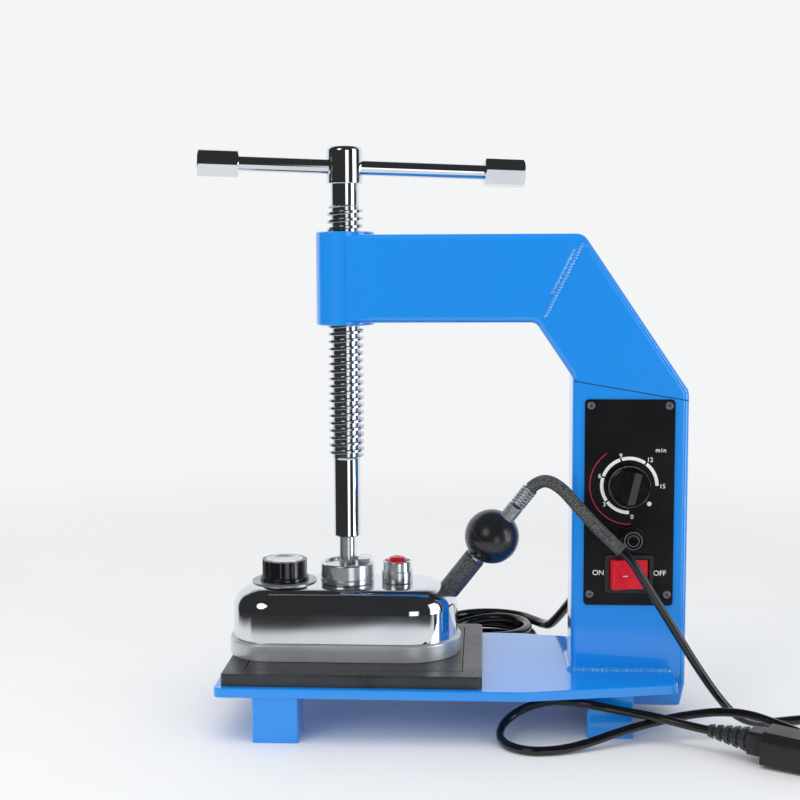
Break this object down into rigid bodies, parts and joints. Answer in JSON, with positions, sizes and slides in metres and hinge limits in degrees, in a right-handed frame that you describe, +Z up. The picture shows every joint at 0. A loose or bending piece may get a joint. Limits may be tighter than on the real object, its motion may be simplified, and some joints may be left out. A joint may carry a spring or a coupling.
{
  "type": "tire vulcanizing machine",
  "caption": "Bench press for patching inner tubes: blue welded C-frame, lead screw with sliding T-bar, chromed heated head with thermostat, work pad, timer and switch panel, cords.",
  "frame": {"origin": "on the bench, under the middle of the machine without its cords", "axes": "+Z up, +X from the screw toward the column, +Y toward the back"},
  "size_m": [0.4462, 0.2859, 0.3842],
  "materials": {
    "blue_enamel": "glossy enamel",
    "bronze": "machined",
    "black_rubber": "moulded",
    "panel_black": "satin print",
    "bright_steel": "turned",
    "black_plastic": "moulded",
    "gloss_black": "gloss",
    "red_plastic": "gloss, translucent",
    "brass": "bright",
    "glass": "clear",
    "white_ceramic": "glazed",
    "cord_rubber": "extruded",
    "cast_sole": "machined and polished",
    "chrome": "mirror plated",
    "grey_metal": "satin"
  },
  "bodies": {
    "frame": {"base_plate": "blue_enamel", "leg_front_left": "blue_enamel", "leg_front_right": "blue_enamel", "leg_back_left": "blue_enamel", "leg_back_right": "blue_enamel", "column_box": "blue_enamel", "elbow_box": "blue_enamel", "arm_box": "blue_enamel", "nose_boss": "blue_enamel", "screw_nut": "bronze", "pad_frame": "black_rubber", "work_plate": "black_rubber", "panel_plate": "panel_black", "panel_screws": "bright_steel", "timer_body": "black_plastic", "switch_housing": "black_plastic", "switch_terminals": "brass", "fuse_holder": "black_plastic", "fuse_link": "glass", "terminal_block": "white_ceramic", "mains_gland": "black_rubber", "mains_lead": "cord_rubber", "mains_coil": "cord_rubber", "mains_plug": "black_plastic", "plug_pins": "brass", "head_lead": "cord_rubber", "connector_relief": "black_rubber", "connector_body": "black_plastic"},
    "press_head": {"heater_sole": "cast_sole", "heating_element": "bright_steel", "head_dome": "chrome", "head_post": "bright_steel", "head_cup": "chrome", "dial_disc": "grey_metal", "thermostat_body": "white_ceramic", "lamp_bezel": "chrome", "lamp_ring": "black_plastic", "lamp_body": "white_ceramic", "lamp_lens": "red_plastic", "handle_foot": "grey_metal", "handle_grip": "black_plastic", "handle_collar": "bright_steel", "handle_ball": "gloss_black", "handle_ferrule": "bright_steel", "relief_spring": "bright_steel", "lead_sleeve": "cord_rubber"},
    "screw": {"lead_screw": "bright_steel", "screw_hub": "chrome", "tip_rod": "chrome", "tip_ring": "bright_steel", "tip_pin": "bright_steel"},
    "t_bar": {"tommy_bar": "chrome", "bar_nuts": "chrome"},
    "heat_knob": {"thermostat_shaft": "bright_steel", "thermostat_knob": "gloss_black", "knob_cap": "chrome"},
    "time_knob": {"timer_shaft": "bright_steel", "timer_knob": "black_plastic"},
    "rocker": {"switch_rocker": "red_plastic"},
    "fuse_cap": {"fuse_cap": "black_plastic"}
  },
  "joints": [
    {"name": "head_lift", "type": "slide", "parent": "frame", "child": "press_head", "axis": [0, 0, 1], "range_m": [0, 0.08]},
    {"name": "screw_turn", "type": "hinge", "parent": "press_head", "child": "screw", "pos_m": [-0.06494, 0, 0.2], "axis": [0, 0, 1], "range_deg": [0, 5760]},
    {"name": "bar_slide", "type": "slide", "parent": "screw", "child": "t_bar", "axis": [0.9871, 0.1563, -0.0344], "range_m": [-0.0814, 0.0576]},
    {"name": "heat_turn", "type": "hinge", "parent": "press_head", "child": "heat_knob", "pos_m": [-0.10844, 0, 0.1], "axis": [0, 0, -1], "range_deg": [0, 270]},
    {"name": "time_turn", "type": "hinge", "parent": "frame", "child": "time_knob", "pos_m": [0.12296, -0.03, 0.1613], "axis": [0, 1, 0], "range_deg": [-45, 270]},
    {"name": "rocker_tip", "type": "hinge", "parent": "frame", "child": "rocker", "pos_m": [0.12371, -0.0202, 0.10235], "axis": [0, 0, -1], "range_deg": [0, 20]},
    {"name": "cap_turn", "type": "hinge", "parent": "frame", "child": "fuse_cap", "pos_m": [0.12566, -0.028, 0.1258], "axis": [0, -1, 0], "range_deg": [0, 90]}
  ],
  "couplings": [
    {"joint": "head_lift", "follows": "screw_turn", "m_per_rad": 0.00079577}
  ]
}
